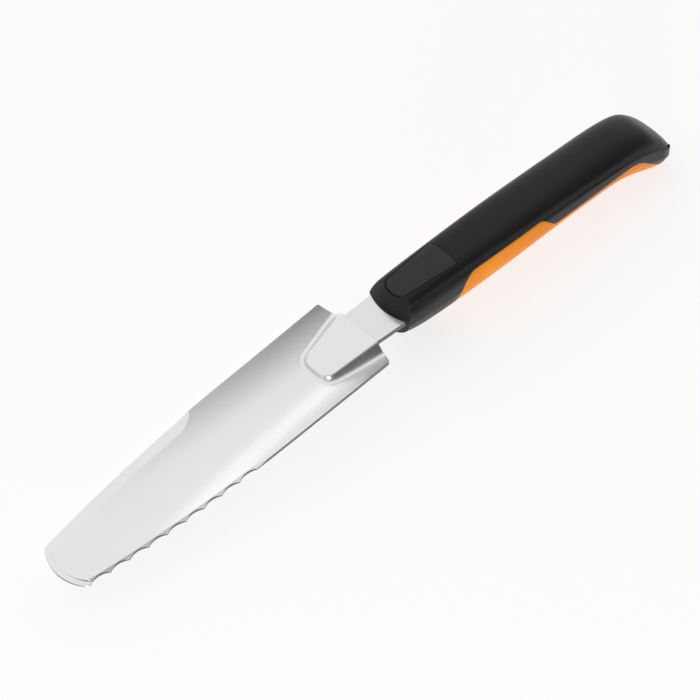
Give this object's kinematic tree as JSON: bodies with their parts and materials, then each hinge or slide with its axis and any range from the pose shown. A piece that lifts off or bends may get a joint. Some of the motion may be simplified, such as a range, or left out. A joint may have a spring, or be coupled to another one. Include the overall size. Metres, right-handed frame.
{
  "type": "hori hori knife",
  "caption": "Hand digging knife: a steel trough blade, scalloped on one edge and ground on the other, on a flat tang in a moulded two-tone grip with a hooked butt.",
  "frame": {"origin": "on the surface that the knife lies on, under the middle of its overall length and width", "axes": "+X from the tip to the butt, +Y towards the ground knife edge, +Z towards the hollow of the blade and the thumb side of the grip"},
  "size_m": [0.34, 0.042, 0.0329],
  "materials": {
    "blade_steel": "fine satin stainless, brushed along its length, bright ground bevels",
    "tang_steel": "satin stainless strap",
    "weld_steel": "wire-brushed weld metal",
    "core_nylon": "moulded glass-filled nylon",
    "black_shell": "satin black moulding with a fine spark texture",
    "orange_grip": "satin orange moulding with shallow finger ribs",
    "soft_pad": "soft-touch black inlay"
  },
  "bodies": {
    "root": {"blade": "blade_steel", "tang": "tang_steel", "weld_beads": "weld_steel", "handle_core": "core_nylon", "handle_shell": "black_shell", "belly_grip": "orange_grip", "thumb_pad": "soft_pad"}
  },
  "joints": []
}
